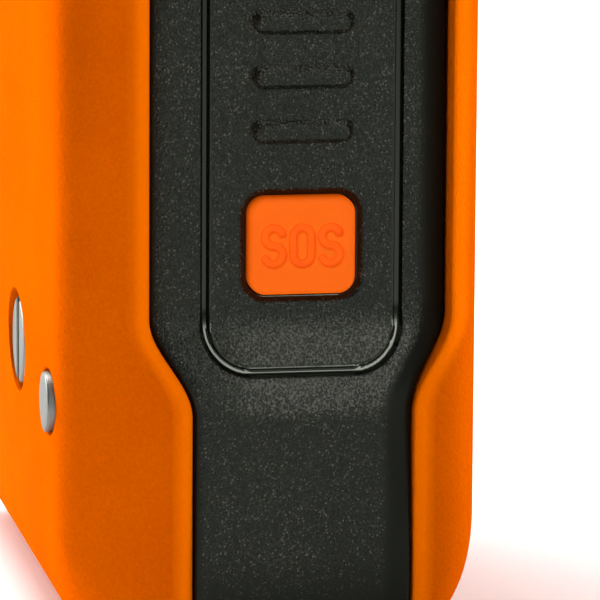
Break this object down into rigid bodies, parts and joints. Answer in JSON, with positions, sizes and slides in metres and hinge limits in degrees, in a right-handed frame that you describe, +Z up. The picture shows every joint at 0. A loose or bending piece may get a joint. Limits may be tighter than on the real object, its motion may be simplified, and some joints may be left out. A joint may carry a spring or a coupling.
{
  "type": "avalanche transceiver",
  "caption": "Rugged hand-held rescue transceiver: black grained frame between two orange shells, side keypad with grip ribs and an SOS key, display, keys and top mode knob.",
  "frame": {"origin": "centre of the flat under the body that it stands on", "axes": "+Z up along the body's length, -Y out of the display face, +Y out of the rear cover, -X out of the side with the SOS key"},
  "size_m": [0.068, 0.0348, 0.125],
  "materials": {
    "orange_shell": "fine moulded grain, satin",
    "black_frame": "coarse sparkling moulded grain",
    "black_rubber": "moulded grain, satin rubber",
    "signal_orange": "smooth matt signal orange",
    "seal_rubber": "smooth silicone",
    "steel": "turned stainless steel",
    "shielding": "tinned sheet",
    "brass": "turned brass",
    "copper": "enamelled copper wire",
    "ferrite": "sintered, matt",
    "board": "solder mask",
    "window": "clear hard-coated window over a dark display",
    "grey_plastic": "plain moulded plastic",
    "cell": "printed cell sleeve, plain"
  },
  "bodies": {
    "body": {"front_shell": "orange_shell", "mid_frame": "black_frame", "side_keypad": "black_rubber", "grip_pad": "black_rubber", "window_gasket": "seal_rubber", "key_mat": "seal_rubber", "knob_seal": "seal_rubber", "cover_gasket": "seal_rubber", "lanyard_bar": "steel", "housing_screw_1": "steel", "housing_screw_2": "steel", "housing_screw_3": "steel", "housing_screw_4": "steel", "contact_spring_1": "steel", "contact_spring_2": "steel", "contact_spring_3": "steel", "shield_can": "shielding", "radio_module": "shielding", "screw_insert_left": "brass", "screw_insert_right": "brass", "charge_pin_left": "brass", "charge_pin_right": "brass", "contact_plate": "brass", "antenna_x_winding": "copper", "antenna_y_winding": "copper", "antenna_z_winding": "copper", "antenna_x_core": "ferrite", "antenna_y_core": "ferrite", "antenna_z_core": "ferrite", "satellite_antenna": "ferrite", "main_board": "board", "side_board": "board", "charge_board": "board", "display_window": "window", "display_module": "window", "battery_tray": "grey_plastic", "rotary_switch": "grey_plastic", "sos_switch": "grey_plastic", "sounder": "grey_plastic", "status_light_guide": "grey_plastic", "battery_cell_1": "cell", "battery_cell_2": "cell", "battery_cell_3": "cell"},
    "rear_cover": {"rear_cover": "orange_shell", "charge_stud_left": "steel", "charge_stud_right": "steel"},
    "coin_screw_left": {"coin_screw_left": "steel", "screw_clip_left": "steel"},
    "coin_screw_right": {"coin_screw_right": "steel", "screw_clip_right": "steel"},
    "sos_button": {"sos_button": "signal_orange"},
    "key_down": {"key_down": "black_rubber"},
    "key_flag": {"key_flag": "black_rubber"},
    "key_up": {"key_up": "black_rubber"},
    "mode_knob": {"mode_knob": "signal_orange", "knob_shaft": "steel"}
  },
  "joints": [
    {"name": "rear_cover_hinge", "type": "hinge", "parent": "body", "child": "rear_cover", "pos_m": [0, 0.0057, 0.1176], "axis": [1, 0, 0], "range_deg": [0, 85]},
    {"name": "coin_screw_left_turn", "type": "hinge", "parent": "rear_cover", "child": "coin_screw_left", "pos_m": [-0.0163, 0.0168, 0.0235], "axis": [0, 1, 0], "range_deg": [0, 90]},
    {"name": "coin_screw_right_turn", "type": "hinge", "parent": "rear_cover", "child": "coin_screw_right", "pos_m": [0.0163, 0.0168, 0.0235], "axis": [0, 1, 0], "range_deg": [0, 90]},
    {"name": "sos_press", "type": "slide", "parent": "body", "child": "sos_button", "axis": [1, 0, 0], "range_m": [0, 0.0006], "stiffness_N_per_m": 1000, "springref_m": -0.0005},
    {"name": "key_down_press", "type": "slide", "parent": "body", "child": "key_down", "axis": [0, 1, 0], "range_m": [0, 0.0008], "stiffness_N_per_m": 1000, "springref_m": -0.0005},
    {"name": "key_flag_press", "type": "slide", "parent": "body", "child": "key_flag", "axis": [0, 1, 0], "range_m": [0, 0.0008], "stiffness_N_per_m": 1000, "springref_m": -0.0005},
    {"name": "key_up_press", "type": "slide", "parent": "body", "child": "key_up", "axis": [0, 1, 0], "range_m": [0, 0.0008], "stiffness_N_per_m": 1000, "springref_m": -0.0005},
    {"name": "mode_knob_turn", "type": "hinge", "parent": "body", "child": "mode_knob", "pos_m": [0.017, -0.0025, 0.1182], "axis": [0, 0, 1], "range_deg": [0, 120]}
  ]
}
